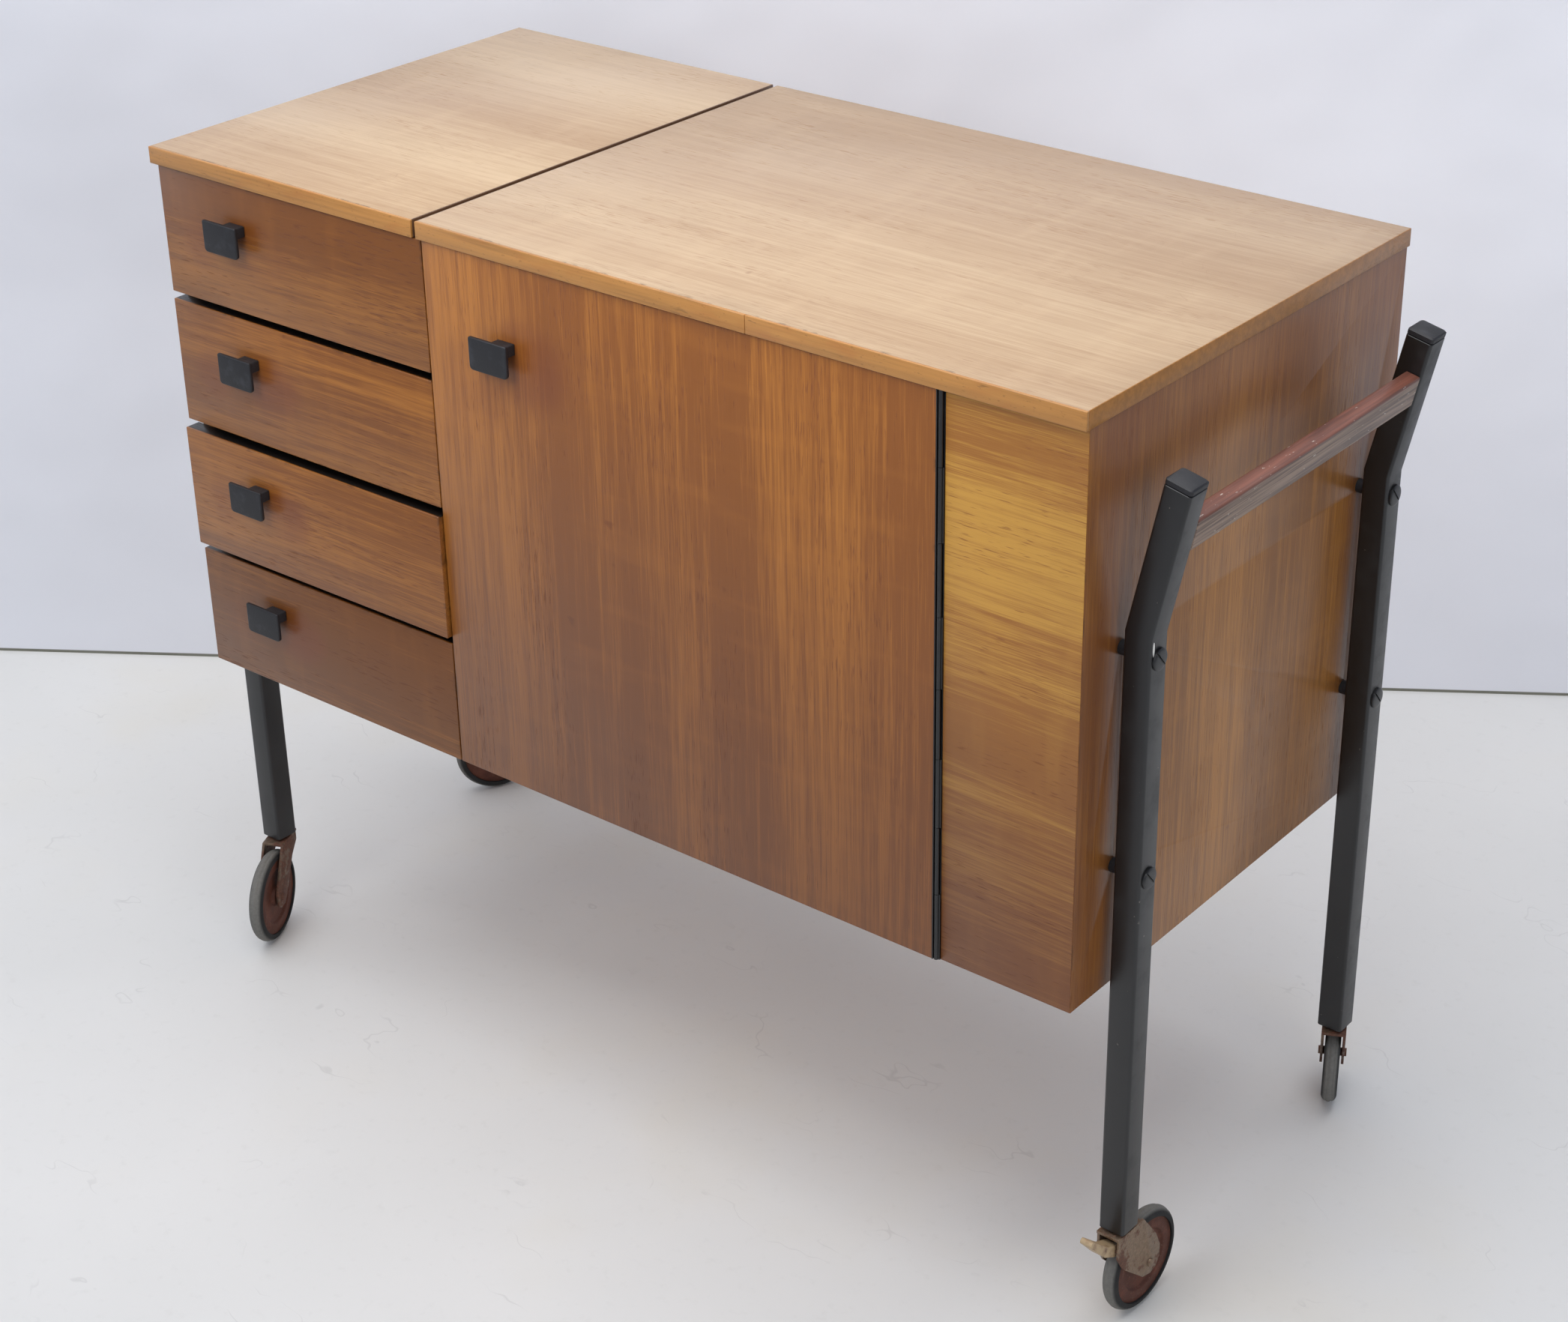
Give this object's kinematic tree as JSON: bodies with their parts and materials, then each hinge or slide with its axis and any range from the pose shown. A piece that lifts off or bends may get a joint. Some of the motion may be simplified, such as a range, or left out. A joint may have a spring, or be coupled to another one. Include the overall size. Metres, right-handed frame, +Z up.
{
  "type": "rolling sewing cabinet",
  "caption": "Wheeled wooden sewing cabinet with drawers, a hinged door, a lift-up lid over an open well, bent tube posts and a push bar.",
  "frame": {"origin": "on the floor under the middle of the outline", "axes": "+X towards the push bar end, +Y towards the back, +Z up; the drawers and the door face -Y"},
  "size_m": [1.1394, 0.5248, 0.875],
  "materials": {
    "veneer": "satin lacquered veneer",
    "lipping": "satin solid strip",
    "black_board": "black stained",
    "inner_wood": "plain plywood and hardwood",
    "black_paint": "satin black paint",
    "black_plastic": "matte black",
    "bar_wood": "worn red-brown stain",
    "worn_steel": "dull zinc with rust",
    "wheel_paint": "dull red-brown",
    "tyre": "worn black rubber",
    "lever_plastic": "yellowed bone colour"
  },
  "bodies": {
    "cabinet": {"left_side_panel": "veneer", "right_side_panel": "veneer", "fixed_front_panel": "veneer", "left_top": "veneer", "left_top_lipping": "lipping", "divider_panel": "black_board", "hinge_partition": "black_board", "drawer_rails": "black_board", "bottom_panel": "inner_wood", "back_panel": "inner_wood", "drawer_runners": "inner_wood", "cupboard_shelf": "inner_wood", "shelf_cleats": "inner_wood", "post_front_right": "black_paint", "post_rear_right": "black_paint", "leg_front_left": "black_paint", "leg_rear_left": "black_paint", "frame_bolts": "black_paint", "door_hinge_frame_leaf": "black_paint", "post_caps": "black_plastic", "post_spacers": "black_plastic", "door_catch": "black_plastic", "push_bar": "bar_wood", "caster_stems": "worn_steel", "lid_hinge_frame_leaves": "worn_steel"},
    "lid": {"lid": "veneer", "lid_lipping": "lipping", "lid_hinge_leaves": "worn_steel"},
    "door": {"door": "veneer", "door_pull": "black_plastic", "door_hinge_leaf": "black_paint", "door_strike": "worn_steel"},
    "thread_tray": {"thread_tray": "inner_wood"},
    "brake_lever": {"brake_lever": "lever_plastic"},
    "drawer_1": {"drawer_1_front": "veneer", "drawer_1_box": "inner_wood", "drawer_1_pull": "black_plastic"},
    "drawer_2": {"drawer_2_front": "veneer", "drawer_2_box": "inner_wood", "drawer_2_pull": "black_plastic"},
    "drawer_3": {"drawer_3_front": "veneer", "drawer_3_box": "inner_wood", "drawer_3_pull": "black_plastic"},
    "drawer_4": {"drawer_4_front": "veneer", "drawer_4_box": "inner_wood", "drawer_4_pull": "black_plastic"},
    "caster_front_left": {"fork_front_left": "worn_steel"},
    "roller_front_left": {"wheel_front_left": "wheel_paint", "tyre_front_left": "tyre"},
    "caster_rear_left": {"fork_rear_left": "worn_steel"},
    "roller_rear_left": {"wheel_rear_left": "wheel_paint", "tyre_rear_left": "tyre"},
    "caster_front_right": {"fork_front_right": "worn_steel"},
    "roller_front_right": {"wheel_front_right": "wheel_paint", "tyre_front_right": "tyre"},
    "caster_rear_right": {"fork_rear_right": "worn_steel"},
    "roller_rear_right": {"wheel_rear_right": "wheel_paint", "tyre_rear_right": "tyre"}
  },
  "joints": [
    {"name": "lid_hinge", "type": "hinge", "parent": "cabinet", "child": "lid", "pos_m": [0.1671, 0.24582, 0.857], "axis": [-1, 0, 0], "range_deg": [0, 95]},
    {"name": "door_hinge", "type": "hinge", "parent": "cabinet", "child": "door", "pos_m": [0.37335, -0.24268, 0.602], "axis": [0, 0, 1], "range_deg": [0, 110]},
    {"name": "drawer_1_slide", "type": "slide", "parent": "cabinet", "child": "drawer_1", "axis": [0, -1, 0], "range_m": [0, 0.3]},
    {"name": "drawer_2_slide", "type": "slide", "parent": "cabinet", "child": "drawer_2", "axis": [0, -1, 0], "range_m": [0, 0.3]},
    {"name": "drawer_3_slide", "type": "slide", "parent": "cabinet", "child": "drawer_3", "axis": [0, -1, 0], "range_m": [-0.0045, 0.3]},
    {"name": "drawer_4_slide", "type": "slide", "parent": "cabinet", "child": "drawer_4", "axis": [0, -1, 0], "range_m": [0, 0.3]},
    {"name": "thread_tray_slide", "type": "slide", "parent": "drawer_1", "child": "thread_tray", "axis": [0, 1, 0], "range_m": [0, 0.25]},
    {"name": "swivel_front_left", "type": "hinge", "parent": "cabinet", "child": "caster_front_left", "pos_m": [-0.5279, -0.18268, 0.103], "axis": [0, 0, 1], "continuous": true},
    {"name": "roll_front_left", "type": "hinge", "parent": "caster_front_left", "child": "roller_front_left", "pos_m": [-0.51353, -0.2135, 0.049], "axis": [0.9063, 0.4226, 0], "continuous": true},
    {"name": "swivel_rear_left", "type": "hinge", "parent": "cabinet", "child": "caster_rear_left", "pos_m": [-0.5279, 0.18732, 0.103], "axis": [0, 0, 1], "continuous": true},
    {"name": "roll_rear_left", "type": "hinge", "parent": "caster_rear_left", "child": "roller_rear_left", "pos_m": [-0.54333, 0.15702, 0.049], "axis": [0.891, -0.454, 0], "continuous": true},
    {"name": "swivel_front_right", "type": "hinge", "parent": "cabinet", "child": "caster_front_right", "pos_m": [0.5276, -0.18628, 0.103], "axis": [0, 0, 1], "continuous": true},
    {"name": "roll_front_right", "type": "hinge", "parent": "caster_front_right", "child": "roller_front_right", "pos_m": [0.52879, -0.1523, 0.049], "axis": [-0.9994, 0.0349, 0], "continuous": true},
    {"name": "swivel_rear_right", "type": "hinge", "parent": "cabinet", "child": "caster_rear_right", "pos_m": [0.5276, 0.18732, 0.103], "axis": [0, 0, 1], "continuous": true},
    {"name": "roll_rear_right", "type": "hinge", "parent": "caster_rear_right", "child": "roller_rear_right", "pos_m": [0.51243, 0.21774, 0.049], "axis": [-0.8949, -0.4462, 0], "continuous": true},
    {"name": "brake_pedal", "type": "hinge", "parent": "caster_front_right", "child": "brake_lever", "pos_m": [0.52718, -0.19828, 0.088], "axis": [0.9994, -0.0349, 0], "range_deg": [0, 20]}
  ]
}
